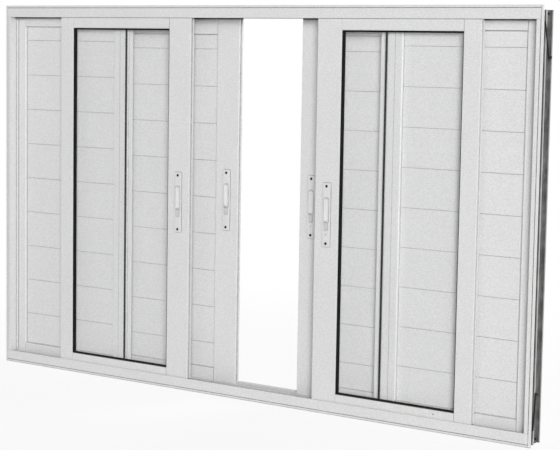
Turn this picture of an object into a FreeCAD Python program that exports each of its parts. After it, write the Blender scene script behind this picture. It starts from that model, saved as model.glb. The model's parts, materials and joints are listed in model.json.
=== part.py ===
import FreeCAD, Part
import math
import os

V = FreeCAD.Vector

# Sliding shutter window of painted aluminium, standing part open
# X runs along the window, Y away from the room, Z up; lengths are millimetres
# The origin is in the middle of the sill's underside

# Outer size
width = 2000.0
height = 1200.0

# Fits
sliding_gap = 0.3
joint_gap = 0.2
rubber_fit = 0.05

# Sheet thickness of the frame and leaf sections
wall = 1.2
frame_wall = 1.6

# Face flange on the room side
flange = 2.0
flange_jamb = 20.5
flange_rail = 38.0
flange_break = 0.7
lip_return = 5.0
bead = 7.5
bead_groove = 2.0
bead_groove_deep = 1.0

# Frame body behind the flange, with channels for the wall anchors
set_back = 12.0
tee_wide = 8.4
tee_thick = 1.4
jamb_guide_high = 8.5
port_wall = 1.3
port_bore = 2.1
port_slit = 1.6

# Tracks, the first is next to the room
tracks = 3
leaf_depth = 20.0
leaf_gap = 5.0
sill_floor = 14.0
rail_top = 35.0
rail_web = 2.0
rail_head = 3.2
rail_head_high = 2.4
sill_guide_high = 10.0
head_guide_high = 16.0
shoulder = 6.9

# Leaves: each sliding one is a quarter of the window and this much more
leaf_extra = 43.0
rail_grip = 5.0
lift_room = 7.5
outer_stile_wide = 55.0
handle_stile_wide = 85.0
edge_break = 1.2
edge_channel_deep = 5.0
edge_channel_wide = 9.0
rail_notch_wide = 8.4
runner_high = 11.0
runner_long = 44.0
runner_inset = 60.0

# How far each sliding leaf's meeting edge stands from the middle, as a share of half the width
glass_open = {"left": 0.211, "right": 0.267}
shutter_open = {"left": 0.059, "right": 0.177}

# Glazing
glass_top_sight = 34.0
glass_bottom_sight = 24.0
pocket_deep = 8.0
pane = 4.0
pane_offset = 1.0
pane_bite = 6.0
rubber = 2.0
rubber_back = 1.5
rubber_foot = 5.0
rubber_fin = 1.2
rubber_fin_down = 0.6
drain_bore = 2.0
drain_inset = 122.0

# Slats
slat_pitch = 114.8
slat_skin = 0.8
slat_front = 9.0
slat_deep = 9.5
slat_bite = 6.0
slat_chamfer = 0.8
first_slat = 45.8
tongue_in = 2.6
tongue = 2.4
tongue_high = 6.0
tongue_room = 0.8
blade_back = 4.3
blade_nose = 2.2
fixed_top_sight = 30.6
fixed_bottom_sight = 27.3
moving_top_sight = 49.0
moving_bottom_sight = 33.8

# Fixed shutters
fixed_jamb_stile_wide = 40.2
fixed_inner_stile_wide = 59.6
leaf_overlap = 59.0
seal_lip_wide = 14.0
seal_lip_step = 3.0
seal_lip_return = 5.0
brush_inset = 7.0
brush_wide = 4.0
brush_deep = 3.0
brush_back = 1.0
brush_pile = 2.4
brush_reach = 4.0
brush_short = 12.0
face_line_inset = 35.0
face_line_wide = 1.6
face_line_deep = 0.8

# Pull handles
plate_centre = {"glass": 590.0, "shutter": 604.0}
plate_wide = 28.0
plate_high = 188.0
plate_thick = 3.0
plate_corner = 3.0
plate_bevel = 1.0
cup_wide = 17.0
cup_top = 50.0
cup_bottom = -21.0
cup_deep = 9.0
cup_wall = 1.0
cup_corner = 1.5
slider_wide = 12.0
slider_high = 22.0
slider_thick = 2.4
slider_sunk = 1.2
slider_below_cup = 2.5
slider_ribs = 4
screw_spacing = 169.0
screw_shank = 1.6
screw_head = 3.3
screw_head_high = 1.4
screw_long = 9.0
key_bore = 1.2
key_bore_down = 58.0

# Wall anchors folded flat over the jambs' channels
strap_wide = 8.0
strap_thick = 1.5
strap_fixed_end = (-13.0, 45.0)
strap_free_end = (7.0, 165.0)
strap_curl = 4.0
strap_bends = 8
strap_rivet = 2.6
strap_rivet_up = 8.0

# Corner screws
corner_screw_long = 22.0
corner_shank = 1.9
corner_head = 3.9
corner_head_high = 2.2
corner_screw_shift = 6.0

# Small fasteners and the tubes they cut into are drawn with flat sides
shank_sides = 6
head_sides = 12
port_sides = 8

# Places that follow from the sizes above
half_width = width / 2
leaf_width = width / 4 + leaf_extra
depth = leaf_gap + tracks * (leaf_depth + leaf_gap)
front = -depth / 2
middle = depth / 2
track_front = [leaf_gap + i * (leaf_depth + leaf_gap) for i in range(tracks)]
track_middle = [d + leaf_depth / 2 for d in track_front]
guides = [d - leaf_gap / 2 for d in track_front[1:]]
web_outer = set_back + shoulder
body_half = half_width - flange_jamb - joint_gap
flange_half = half_width - bead - joint_gap
head_web = height - web_outer
leaf_bottom = rail_top - rail_grip
leaf_top = head_web - frame_wall - lift_room
runner_top = rail_top + runner_high
opening_top = height - flange_rail
opening_bottom = flange_rail
glass_top = opening_top - glass_top_sight
glass_bottom = opening_bottom + glass_bottom_sight
fixed_inner_edge = leaf_width - leaf_overlap
jamb_face = half_width - flange_jamb - sliding_gap
corner_screw_depths = [track_middle[0], track_middle[1] - corner_screw_shift,
                       track_middle[2]]
corner_screw_heights = [sill_floor - port_bore, head_web - frame_wall - port_bore]

os.makedirs("parts", exist_ok=True)


def loop(points, place):
    # A closed outline; a third number rounds its corner, or cuts it off if it is below zero
    count = len(points)
    enters = []
    leaves = []
    crowns = []
    for i, p in enumerate(points):
        here = V(p[0], p[1], 0)
        if len(p) == 2:
            enters.append(here)
            leaves.append(here)
            crowns.append(None)
            continue
        back = V(*points[i - 1][:2], 0) - here
        ahead = V(*points[(i + 1) % count][:2], 0) - here
        back.normalize()
        ahead.normalize()
        half = back.getAngle(ahead) / 2
        if p[2] < 0:
            enters.append(here - back * p[2])
            leaves.append(here - ahead * p[2])
            crowns.append((enters[-1] + leaves[-1]) / 2)
            continue
        run = p[2] / math.tan(half)
        inward = back + ahead
        inward.normalize()
        enters.append(here + back * run)
        leaves.append(here + ahead * run)
        crowns.append(here + inward * (p[2] / math.sin(half) - p[2]))
    edges = []
    for i in range(count):
        if crowns[i] is not None and points[i][2] > 0:
            edges.append(Part.Arc(place(enters[i]), place(crowns[i]), place(leaves[i])).toShape())
        elif crowns[i] is not None:
            edges.append(Part.makeLine(place(enters[i]), place(leaves[i])))
        edges.append(Part.makeLine(place(leaves[i]), place(enters[(i + 1) % count])))
    return Part.Wire(edges)


def section(points, holes, place, along):
    # One extrusion from an outline and its hollow chambers
    face = Part.Face([loop(points, place)] + [loop(h, place) for h in holes])
    face.validate()
    return face.extrude(along)


def bar_x(points, x0, x1, holes=()):
    # Outline in (depth from the face, height), run along X
    return section(points, holes, lambda p: V(x0, front + p.x, p.y), V(x1 - x0, 0, 0))


def bar_z(points, z0, z1, holes=()):
    # Outline in (x, depth from the face), run up along Z
    return section(points, holes, lambda p: V(p.x, front + p.y, z0), V(0, 0, z1 - z0))


def bar_y(points, d0, d1):
    # Outline in (x, height), run away from the room
    return section(points, (), lambda p: V(p.x, front + d0, p.y), V(0, d1 - d0, 0))


def box(x0, x1, d0, d1, z0, z1):
    # A block between two x, two depths and two heights
    return Part.makeBox(abs(x1 - x0), d1 - d0, z1 - z0, V(min(x0, x1), front + d0, z0))


def rod(a, b, r, sides=0):
    # A bar between two points given as (x, depth, height), round or with flat sides
    start = V(a[0], front + a[1], a[2])
    end = V(b[0], front + b[1], b[2])
    if sides == 0:
        return Part.makeCylinder(r, (end - start).Length, start, end - start)
    turn = FreeCAD.Rotation(V(0, 0, 1), end - start)
    ring = []
    for i in range(sides + 1):
        angle = math.tau * (i % sides) / sides
        ring.append(start + turn.multVec(V(r * math.cos(angle), r * math.sin(angle), 0)))
    return Part.Face(Part.makePolygon(ring)).extrude(end - start)


def rib(at, base, tip, thick):
    # Four outline points of a rib that stands on a wall
    low = at - thick / 2
    high = at + thick / 2
    return [(low, base), (low, tip), (high, tip), (high, base)]


def tee(at, base, tip, thick, wide, cap):
    # Outline points of a rib with a cap, which closes half of the channel beside it
    under = tip + math.copysign(cap, base - tip)
    low, high = at - thick / 2, at + thick / 2
    return [(low, base), (low, under), (at - wide / 2, under), (at - wide / 2, tip),
            (at + wide / 2, tip), (at + wide / 2, under), (high, under), (high, base)]


def back_to_front(points):
    return list(reversed(points))


def swapped(points):
    return [(b, a) for a, b in points]


def save(node, solids):
    # Write one node after a look at each of its solids
    found = []
    for s in solids:
        found += s.Solids
    for s in found:
        if not s.isValid() or s.Volume <= 0:
            raise ValueError(node + " has a bad solid")
    shape = found[0] if len(found) == 1 else Part.makeCompound(found)
    shape.exportStep("parts/" + node + ".step")
    print(node, len(found), round(shape.Volume / 1000, 1), "cm3")


# Head and sill: the flange runs to the jambs' beads, the body fits between the jambs

def add_ports(bar, height_of_port):
    # Split tubes along the bar that take the corner screws
    for d in corner_screw_depths:
        ends = (-body_half, d, height_of_port), (body_half, d, height_of_port)
        slit = box(-body_half, body_half, d - port_slit / 2, d + port_slit / 2,
                   height_of_port - port_bore - 2 * port_wall, height_of_port)
        bar = bar.fuse(rod(*ends, port_bore + port_wall, port_sides))
        bar = bar.cut(rod(*ends, port_bore, port_sides)).cut(slit)
    return bar.removeSplitter()


def trim_flange(bar, z0, z1):
    # Behind the flange the bar stops at the jambs
    for side in (-1, 1):
        bar = bar.cut(box(side * body_half, side * half_width, flange, depth + 1, z0 - 1, z1 + 1))
    return bar


def make_head():
    shelf = head_web - frame_wall
    tip = height - set_back
    rear = depth - frame_wall
    points = [(0, height, -flange_break)]
    line = height - bead
    points += [(0, line + bead_groove / 2), (bead_groove_deep, line + bead_groove / 2),
               (bead_groove_deep, line - bead_groove / 2), (0, line - bead_groove / 2)]
    lip_top = opening_top + frame_wall
    points += [(0, opening_top, -flange_break), (lip_return, opening_top), (lip_return, lip_top),
               (flange, lip_top), (flange, shelf)]
    for d in guides:
        points += rib(d, shelf, shelf - head_guide_high, frame_wall)
    points += [(rear, shelf), (rear, opening_top), (depth, opening_top), (depth, tip)]
    points += [(rear - tee_wide / 2, tip), (rear - tee_wide / 2, tip - tee_thick), (rear, tip - tee_thick),
               (rear, head_web)]
    points += back_to_front(tee(middle, head_web, tip, frame_wall, tee_wide, tee_thick))
    points += [(flange, head_web), (flange, height)]
    bar = bar_x(points, -flange_half, flange_half)
    return add_ports(trim_flange(bar, 0, height), head_web - frame_wall - port_bore)


def track_rail(d):
    # A rail with a wider head that the runners sit on
    under = rail_top - rail_head_high
    floor = sill_floor + frame_wall
    web0, web1 = d - rail_web / 2, d + rail_web / 2
    head0, head1 = d - rail_head / 2, d + rail_head / 2
    return [(web0, floor), (web0, under), (head0, under), (head0, rail_top, -flange_break),
            (head1, rail_top, -flange_break), (head1, under), (web1, under), (web1, floor)]


def make_sill():
    floor = sill_floor + frame_wall
    rear = depth - frame_wall
    points = [(0, 0), (0, bead - bead_groove / 2), (bead_groove_deep, bead - bead_groove / 2),
              (bead_groove_deep, bead + bead_groove / 2), (0, bead + bead_groove / 2),
              (0, opening_bottom, -flange_break), (flange, opening_bottom), (flange, floor)]
    for i, d in enumerate(track_middle):
        points += track_rail(d)
        if i < len(guides):
            points += rib(guides[i], floor, floor + sill_guide_high, frame_wall)
    points += [(rear, floor), (rear, opening_bottom), (depth, opening_bottom), (depth, 0)]
    points += [(rear - tee_wide / 2, 0), (rear - tee_wide / 2, tee_thick), (rear, tee_thick),
               (rear, sill_floor)]
    points += back_to_front(tee(middle, sill_floor, 0, frame_wall, tee_wide, tee_thick))
    points += [(flange, sill_floor), (flange, 0)]
    bar = bar_x(points, -flange_half, flange_half)
    return add_ports(trim_flange(bar, 0, height), sill_floor - port_bore)


# Jambs, notched where the head's and the sill's flanges pass

def make_jamb(side):
    web = flange_jamb - frame_wall
    rear = depth - frame_wall
    points = [(0, 0), (0, lip_return), (frame_wall, lip_return), (frame_wall, flange), (web, flange)]
    points += swapped(tee(middle, web, set_back, frame_wall, tee_wide, tee_thick))
    points += [(web, rear), (set_back + tee_thick, rear), (set_back + tee_thick, rear - tee_wide / 2),
               (set_back, rear - tee_wide / 2), (set_back, depth), (flange_jamb, depth)]
    for d in reversed(guides):
        guide = rib(d, flange_jamb, flange_jamb + jamb_guide_high, frame_wall)
        points += back_to_front(swapped(guide))
    line0, line1 = bead - bead_groove / 2, bead + bead_groove / 2
    points += [(flange_jamb, 0), (line1, 0), (line1, bead_groove_deep), (line0, bead_groove_deep),
               (line0, 0)]
    jamb = bar_z([(side * (half_width - p[0]),) + tuple(p[1:]) for p in points], 0, height)
    inner = side * (half_width - flange_jamb - jamb_guide_high - 1)
    jamb = jamb.cut(box(side * half_width, inner, flange, depth, height - set_back, height))
    for z0, z1 in ((0, opening_bottom + joint_gap), (opening_top - joint_gap, height)):
        jamb = jamb.cut(box(side * (half_width - bead), inner, 0, flange + joint_gap, z0, z1))
        jamb = jamb.cut(box(side * (half_width - flange_jamb), inner, 0, depth, z0, z1))
    for z in corner_screw_heights:
        for d in corner_screw_depths:
            outside = (side * (half_width - set_back), d, z)
            jamb = jamb.cut(rod(outside, (inner, d, z), port_bore, port_sides))
    return jamb.removeSplitter()


def corner_screws(side):
    screws = []
    seat = side * (half_width - flange_jamb + frame_wall)
    top = seat + side * corner_head_high
    for z in corner_screw_heights:
        for d in corner_screw_depths:
            tip = seat - side * corner_screw_long
            shank = rod((seat, d, z), (tip, d, z), corner_shank, shank_sides)
            head = rod((seat, d, z), (top, d, z), corner_head, head_sides)
            screws.append(shank.fuse(head).removeSplitter())
    return screws


def wall_anchor(side, at_top):
    # A strap riveted to the tee and folded flat, with its free end curled outward
    face = half_width - set_back
    run = strap_free_end[0] - strap_fixed_end[0]
    rise = strap_free_end[1] - strap_fixed_end[1]
    long = math.hypot(run, rise)
    bend = [math.pi * (1 - 1.5 * i / strap_bends) for i in range(strap_bends + 1)]
    outline = [(0, 0), (strap_thick, 0)]
    for r, angles in ((strap_curl - strap_thick, bend), (strap_curl, bend[::-1])):
        outline += [(strap_curl + r * math.cos(a), long + r * math.sin(a)) for a in angles]
    bar = section(outline, (), lambda p: V(p.x, -strap_wide / 2, p.y), V(0, strap_wide, 0))
    rivet = rod((strap_thick, -front, strap_rivet_up), (2 * strap_thick, -front, strap_rivet_up),
                strap_rivet, head_sides)
    strap = bar.fuse(rivet).removeSplitter()
    strap.rotate(V(0, 0, 0), V(1, 0, 0), -math.degrees(math.atan2(run, rise)))
    strap.translate(V(face, front + middle + strap_fixed_end[0], strap_fixed_end[1]))
    if at_top:
        strap = strap.mirror(V(0, 0, (height - set_back) / 2), V(0, 0, 1))
    if side < 0:
        strap = strap.mirror(V(0, 0, 0), V(1, 0, 0))
    return strap


# Leaf sections: stiles and rails with a pocket in the edge next to the opening

def chamber(a0, a1, b0, b1):
    return [(a0, b0), (a1, b0), (a1, b1), (a0, b1)]


def stile(edge, inward, wide, d0, pocket, notch_top, channelled=True):
    # edge is the leaf's outer edge, inward is +1 or -1 towards the opening
    p0, p1 = pocket
    d1 = d0 + leaf_depth
    mid = d0 + leaf_depth / 2
    lip = wide - pocket_deep
    keep = edge_channel_deep if channelled else 0
    outer = [(0, d0, edge_break), (wide, d0, -edge_break), (wide, p0), (lip, p0), (lip, p1),
             (wide, p1), (wide, d1), (0, d1, -edge_break)]
    if channelled:
        c0 = mid - edge_channel_wide / 2
        c1 = mid + edge_channel_wide / 2
        outer += [(0, c1), (keep, c1), (keep, c0), (0, c0)]
    holes = [chamber(keep + wall, lip - wall, d0 + wall, d1 - wall)]
    if p0 - d0 > 3 * wall:
        holes.append(chamber(lip, wide - wall, d0 + wall, p0 - wall))
    if d1 - p1 > 3 * wall:
        holes.append(chamber(lip, wide - wall, p1 + wall, d1 - wall))

    def at(points):
        return [(edge + inward * p[0],) + tuple(p[1:]) for p in points]

    solid = bar_z(at(outer), leaf_bottom, leaf_top, [at(h) for h in holes])
    half = rail_notch_wide / 2
    notch = box(edge, edge + inward * wide, mid - half, mid + half, leaf_bottom, notch_top)
    return solid.cut(notch)


def leaf_rail(x0, x1, d0, pocket, sight, end, up, pocket_floor, notch_top=None):
    # up is +1 on a bottom rail; sight is the edge that shows at the opening
    p0, p1 = pocket
    d1 = d0 + leaf_depth
    floor = sight - up * pocket_floor
    outer = [(d0, sight, -edge_break), (d0, end)]
    inner_end = end + up * wall
    if notch_top is not None:
        outer += [(d0 + wall, end), (d0 + wall, notch_top), (d1 - wall, notch_top), (d1 - wall, end)]
        inner_end = notch_top + up * wall
    outer += [(d1, end), (d1, sight), (p1, sight), (p1, floor), (p0, floor), (p0, sight)]
    holes = []
    if abs(floor - up * wall - inner_end) > 2 * wall:
        holes.append(chamber(d0 + wall, d1 - wall, inner_end, floor - up * wall))
    if p0 - d0 > 3 * wall:
        holes.append(chamber(d0 + wall, p0 - wall, floor, sight - up * wall))
    if d1 - p1 > 3 * wall:
        holes.append(chamber(p1 + wall, d1 - wall, floor, sight - up * wall))
    return bar_x(outer, x0 + joint_gap, x1 - joint_gap, holes)


def sliding_frame(leaf, kind, side, opened, d0, pocket, sights, pocket_floor):
    # The stiles and the top rail are saved; the opening and the bottom rail go back to the leaf
    meet = side * opened * half_width
    far = meet + side * leaf_width
    edges = (meet + side * handle_stile_wide, far - side * outer_stile_wide)
    lo, hi = min(edges), max(edges)
    handle = stile(meet, side, handle_stile_wide, d0, pocket, runner_top)
    handle = handle_cuts(handle, meet + side * handle_stile_wide / 2, d0, plate_centre[kind])
    save(leaf + "_handle_stile", [handle])
    save(leaf + "_outer_stile", [stile(far, -side, outer_stile_wide, d0, pocket, runner_top)])
    top = leaf_rail(lo, hi, d0, pocket, sights[1], leaf_top, -1, pocket_floor)
    save(leaf + "_top_rail", [top])
    bottom = leaf_rail(lo, hi, d0, pocket, sights[0], leaf_bottom, 1, pocket_floor, runner_top)
    return lo, hi, far, bottom


# Glass leaves

def glass_leaf(name, side):
    d0 = track_front[0]
    mid = d0 + leaf_depth / 2 + pane_offset
    half_pocket = pane / 2 + rubber + joint_gap
    pocket = (mid - half_pocket, mid + half_pocket)
    lo, hi, far, bottom = sliding_frame(name + "_glass", "glass", side, glass_open[name], d0, pocket,
                                        (glass_bottom, glass_top), pocket_deep)
    if name == "right":
        x = far - side * drain_inset
        z = (opening_bottom + glass_bottom) / 2
        bottom = bottom.cut(rod((x, d0 - 1, z), (x, d0 + wall + 1, z), drain_bore))
    save(name + "_glass_bottom_rail", [bottom])
    bite = pane_bite - joint_gap
    glass = box(lo - bite, hi + bite, mid - pane / 2, mid + pane / 2, glass_bottom - bite,
                glass_top + bite)
    save(name + "_pane", [glass])
    save(name + "_gasket", gasket(lo, hi, mid, d0))


def rubber_strip(edge, inward, mid, d0, run, grip, fin_run):
    # The strip grips the pane in a U and lines the reveal with a fin
    g0 = mid - pane / 2
    g1 = mid + pane / 2
    back = edge - inward * (pane_bite + rubber_back)
    seat = edge - inward * pane_bite
    toe = edge + inward * rubber_foot
    f0 = edge + inward * joint_gap
    f1 = f0 + inward * rubber_fin
    low, high = g0 - rubber_fit, g1 + rubber_fit
    channel = [(back, g0 - rubber), (toe, g0 - rubber, -rubber / 3), (toe, low), (seat, low),
               (seat, high), (toe, high), (toe, g1 + rubber, -rubber / 3), (back, g1 + rubber)]
    fin_top = d0 + rubber_fin_down
    fin = [(f0, fin_top), (f1, fin_top), (f1, g0 - rubber / 2), (f0, g0 - rubber / 2)]
    return run(channel, *grip).fuse(run(fin, *fin_run)).removeSplitter()


def gasket(lo, hi, mid, d0):
    def across(points, x0, x1):
        return bar_x([(p[1], p[0]) + tuple(p[2:]) for p in points], x0, x1)

    over = pane_bite + rubber_back
    tall = (glass_bottom - over, glass_top + over)
    sight = (glass_bottom + joint_gap, glass_top - joint_gap)
    between = (lo + rubber_foot + joint_gap, hi - rubber_foot - joint_gap)
    return [rubber_strip(lo, 1, mid, d0, bar_z, tall, sight),
            rubber_strip(hi, -1, mid, d0, bar_z, tall, sight),
            rubber_strip(glass_bottom, 1, mid, d0, across, between, between),
            rubber_strip(glass_top, -1, mid, d0, across, between, between)]


# Slats: flat towards the room, two sloping blades outside, tongue above and groove below

def slat_section(d0, z):
    room = d0 + slat_front
    nose = room + slat_deep
    back = nose - blade_back
    t0 = room + tongue_in
    t1 = t0 + tongue
    low = z - slat_pitch + sliding_gap
    half = z - slat_pitch / 2
    groove = low + tongue_high + tongue_room
    skin = slat_skin
    outer = [(room, z - slat_chamfer), (room, low + slat_chamfer), (room + slat_chamfer, low),
             (t0 - sliding_gap, low), (t0 - sliding_gap, groove), (t1 + sliding_gap, groove),
             (t1 + sliding_gap, low), (nose, low), (nose, low + blade_nose), (back, half - skin),
             (nose, half + skin), (nose, half + skin + blade_nose), (back, z - skin), (back, z), (t1, z),
             (t1, z + tongue_high), (t0, z + tongue_high), (t0, z), (room + slat_chamfer, z)]
    under = z - skin - slat_chamfer
    shelf = half + 2.8 * skin
    upper = [(room + skin, under), (back - skin, under), (nose - skin, half + skin + blade_nose),
             (nose - skin, shelf), (room + skin, shelf)]
    lower = [(room + skin, half), (back - skin, half), (nose - 2 * skin, groove + skin),
             (room + skin, groove + skin)]
    return outer, [upper, lower]


def slat_pack(lo, hi, d0, top, bottom):
    # The first slat is cut under the top rail and the last one over the bottom rail
    bite = pocket_deep - sliding_gap
    x0, x1 = lo - bite, hi + bite
    kept = box(x0 - 1, x1 + 1, d0, d0 + leaf_depth, bottom - slat_bite, top + slat_bite)
    joint = top - first_slat
    count = int((joint - bottom) / slat_pitch)
    slats = []
    for k in range(-1, count + 1):
        outer, holes = slat_section(d0, joint - k * slat_pitch)
        slat = bar_x(outer, x0, x1, holes)
        if k in (-1, count):
            slat = slat.common(kept)
        slats.append(slat)
    return slats


def slat_pocket(d0):
    return d0 + slat_front - sliding_gap, d0 + slat_front + slat_deep + sliding_gap


# Sliding shutters

def moving_shutter(name, side):
    d0 = track_front[2]
    pocket = slat_pocket(d0)
    sights = (opening_bottom + moving_bottom_sight, opening_top - moving_top_sight)
    lo, hi, far, bottom = sliding_frame(name + "_shutter", "shutter", side, shutter_open[name], d0, pocket,
                                        sights, slat_bite + sliding_gap)
    save(name + "_shutter_bottom_rail", [bottom])
    save(name + "_shutter_slats", slat_pack(lo, hi, d0, sights[1], sights[0]))


# Fixed shutters: they stand on the middle rail, against the jambs

def seal_lip(side, d0):
    # A stepped lip past the brush, with a short return
    edge = side * fixed_inner_edge
    tip = edge - side * seal_lip_wide
    a0 = d0 + seal_lip_step
    a1 = a0 + frame_wall
    points = [(edge + side * wall / 2, a0), (tip, a0), (tip, a0 + seal_lip_return),
              (tip + side * frame_wall, a0 + seal_lip_return), (tip + side * frame_wall, a1),
              (edge + side * wall / 2, a1)]
    return bar_z(points, opening_bottom + joint_gap, opening_top - joint_gap)


def fixed_shutter(name, side):
    d0 = track_front[1]
    pocket = slat_pocket(d0)
    jamb_stile = stile(side * jamb_face, -side, fixed_jamb_stile_wide, d0, pocket, rail_top)
    inner = stile(side * fixed_inner_edge, side, fixed_inner_stile_wide, d0, pocket, rail_top, False)
    seal = fixed_inner_edge + brush_inset

    def strip(centre, wide, deep0, deep1):
        return box(side * (centre - wide / 2), side * (centre + wide / 2), d0 + deep0, d0 + deep1,
                   leaf_bottom, leaf_top)

    bed = strip(seal, brush_wide + 2 * wall, wall / 2, brush_deep + wall)
    seat = strip(seal, brush_wide, 0, brush_deep)
    groove = strip(fixed_inner_edge + face_line_inset, face_line_wide, 0, face_line_deep)
    inner = inner.fuse([bed, seal_lip(side, d0)]).cut(seat).cut(groove).removeSplitter()
    save(name + "_fixed_jamb_stile", [jamb_stile])
    save(name + "_fixed_inner_stile", [inner])
    edges = (side * (jamb_face - fixed_jamb_stile_wide),
             side * (fixed_inner_edge + fixed_inner_stile_wide))
    lo, hi = min(edges), max(edges)
    top = opening_top - fixed_top_sight
    bottom = opening_bottom + fixed_bottom_sight
    floor = slat_bite + sliding_gap
    top_rail = leaf_rail(lo, hi, d0, pocket, top, leaf_top, -1, floor)
    bottom_rail = leaf_rail(lo, hi, d0, pocket, bottom, leaf_bottom, 1, floor, rail_top)
    save(name + "_fixed_top_rail", [top_rail])
    save(name + "_fixed_bottom_rail", [bottom_rail])
    save(name + "_fixed_slats", slat_pack(lo, hi, d0, top, bottom))
    return brush_seal(side * seal, d0)


def brush_seal(x, d0):
    # A pile strip that reaches the glass leaf passing in front
    half = brush_wide / 2 - joint_gap
    backing = d0 + brush_deep
    root = backing - brush_back
    tip = d0 - brush_reach
    pile = brush_pile / 2
    points = [(x - half, backing), (x - half, root), (x - pile, root), (x - pile, tip),
              (x + pile, tip), (x + pile, root), (x + half, root), (x + half, backing)]
    return bar_z(points, leaf_bottom + brush_short, leaf_top - brush_short)


# Pull handles: a plate with a finger cup, a latch slider and two screws

def handle_cuts(solid, x, d0, z):
    around = cup_wall + sliding_gap
    side_room = cup_wide / 2 + around
    solid = solid.cut(box(x - side_room, x + side_room, d0 - 1, d0 + wall + 0.5,
                          z + cup_bottom - around, z + cup_top + around))
    for s in (-1, 1):
        at = z + s * screw_spacing / 2
        hole = rod((x, d0 - 1, at), (x, d0 + wall + 1, at), screw_shank + rubber_fit, shank_sides)
        solid = solid.cut(hole)
    return solid


def slot_outline(x, z, grow, arch, corner):
    # The finger cup's outline, arched at its top
    half = cup_wide / 2 + grow
    top = z + cup_top + grow
    low = z + cup_bottom - grow
    return [(x - half, low, corner), (x + half, low, corner), (x + half, top, arch),
            (x - half, top, arch)]


def pull_plate(x, d0, z, with_key):
    out = d0 - plate_thick
    half = plate_wide / 2
    low, high = z - plate_high / 2, z + plate_high / 2
    plate = bar_y([(x - half, low, plate_corner), (x + half, low, plate_corner),
                   (x + half, high, plate_corner), (x - half, high, plate_corner)], out, d0)
    rim = [e for e in plate.Edges if e.BoundBox.YMax < front + out + 0.01]
    plate = plate.makeChamfer(plate_bevel, rim)
    arch = cup_wide / 2 - 0.5
    pod = slot_outline(x, z, cup_wall, -arch, -cup_corner)
    cup = slot_outline(x, z, 0, arch, cup_corner)
    plate = plate.fuse(bar_y(pod, d0 - plate_thick / 2, d0 + cup_deep))
    plate = plate.cut(bar_y(cup, out - 1, d0 + cup_deep - cup_wall))
    low_edge = z + cup_bottom - slider_below_cup - slider_high
    room = slider_wide / 2 + sliding_gap
    plate = plate.cut(box(x - room, x + room, out - 1, out + slider_sunk, low_edge - sliding_gap,
                          low_edge + slider_high + sliding_gap))
    hole = screw_shank + rubber_fit
    for s in (-1, 1):
        at = z + s * screw_spacing / 2
        plate = plate.cut(rod((x, out - 1, at), (x, d0 + 1, at), hole, shank_sides))
    if with_key:
        at = z - key_bore_down
        plate = plate.cut(rod((x, out - 1, at), (x, d0 + 1, at), key_bore))
    return plate.removeSplitter(), latch_slider(x, out, low_edge), handle_screws(x, out, z)


def latch_slider(x, out, low_edge):
    # A thumb block with grip ribs, drawn from the side
    face = out + slider_sunk - slider_thick
    step = slider_high / (slider_ribs + 1)
    points = [(out + slider_sunk, low_edge), (face, low_edge, -0.5)]
    for k in range(1, slider_ribs + 1):
        z = low_edge + k * step
        points += [(face, z - step / 5), (face + slider_thick / 4, z), (face, z + step / 5)]
    points += [(face, low_edge + slider_high, -0.5), (out + slider_sunk, low_edge + slider_high)]
    return bar_x(points, x - slider_wide / 2, x + slider_wide / 2)


def handle_screws(x, out, z):
    pair = []
    for s in (-1, 1):
        at = z + s * screw_spacing / 2
        shank = rod((x, out, at), (x, out + screw_long, at), screw_shank, shank_sides)
        head = rod((x, out, at), (x, out - screw_head_high, at), screw_head, head_sides)
        rim = [e for e in head.Edges if e.BoundBox.YMax < front + out - screw_head_high + 0.01]
        head = head.makeChamfer(screw_head_high / 2, rim)
        pair.append(shank.fuse(head).removeSplitter())
    return pair


# Runners: blocks in the sliding leaves' bottom channels that straddle the rails

def runner(x, d0):
    mid = d0 + leaf_depth / 2
    half = leaf_depth / 2 - wall - sliding_gap
    grip = rail_head / 2 + sliding_gap
    skirt = rail_top - rail_grip / 2
    points = [(mid - half, skirt), (mid - grip, skirt), (mid - grip, rail_top),
              (mid + grip, rail_top), (mid + grip, skirt), (mid + half, skirt),
              (mid + half, runner_top), (mid - half, runner_top)]
    return bar_x(points, x - runner_long / 2, x + runner_long / 2)


# Build every node

save("head", [make_head()])
save("sill", [make_sill()])
save("left_jamb", [make_jamb(-1)])
save("right_jamb", [make_jamb(1)])
save("corner_screws", corner_screws(-1) + corner_screws(1))
save("wall_anchors", [wall_anchor(side, at_top) for side in (-1, 1) for at_top in (False, True)])

sliders = []
screws = []
runners = []
brushes = []
for name, side in (("left", -1), ("right", 1)):
    glass_leaf(name, side)
    moving_shutter(name, side)
    brushes.append(fixed_shutter(name, side))
    for kind, opened, track in (("glass", glass_open, 0), ("shutter", shutter_open, 2)):
        d0 = track_front[track]
        meet = side * opened[name] * half_width
        grip = meet + side * handle_stile_wide / 2
        plate, slider, pair = pull_plate(grip, d0, plate_centre[kind], side > 0)
        save(name + "_" + kind + "_pull_plate", [plate])
        sliders.append(slider)
        screws += pair
        near = meet + side * (handle_stile_wide + runner_inset)
        far = meet + side * (leaf_width - outer_stile_wide - runner_inset)
        runners += [runner(near, d0), runner(far, d0)]

save("latch_sliders", sliders)
save("handle_screws", screws)
save("leaf_runners", runners)
save("brush_seals", brushes)
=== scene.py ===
# %% [markdown]
# # A sliding shutter window of white aluminium
# The frame, the leaves and the slats come from the CAD model, true to size. This script gives
# every surface its finish, rebuilds the small pieces that a plain solid can't show, and sets
# up the camera and the lights. Each step says what the real thing is and why it is made this
# way.

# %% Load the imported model
import json
import math

import bmesh
import bpy
import numpy as np
from mathutils import Matrix, Vector


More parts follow.
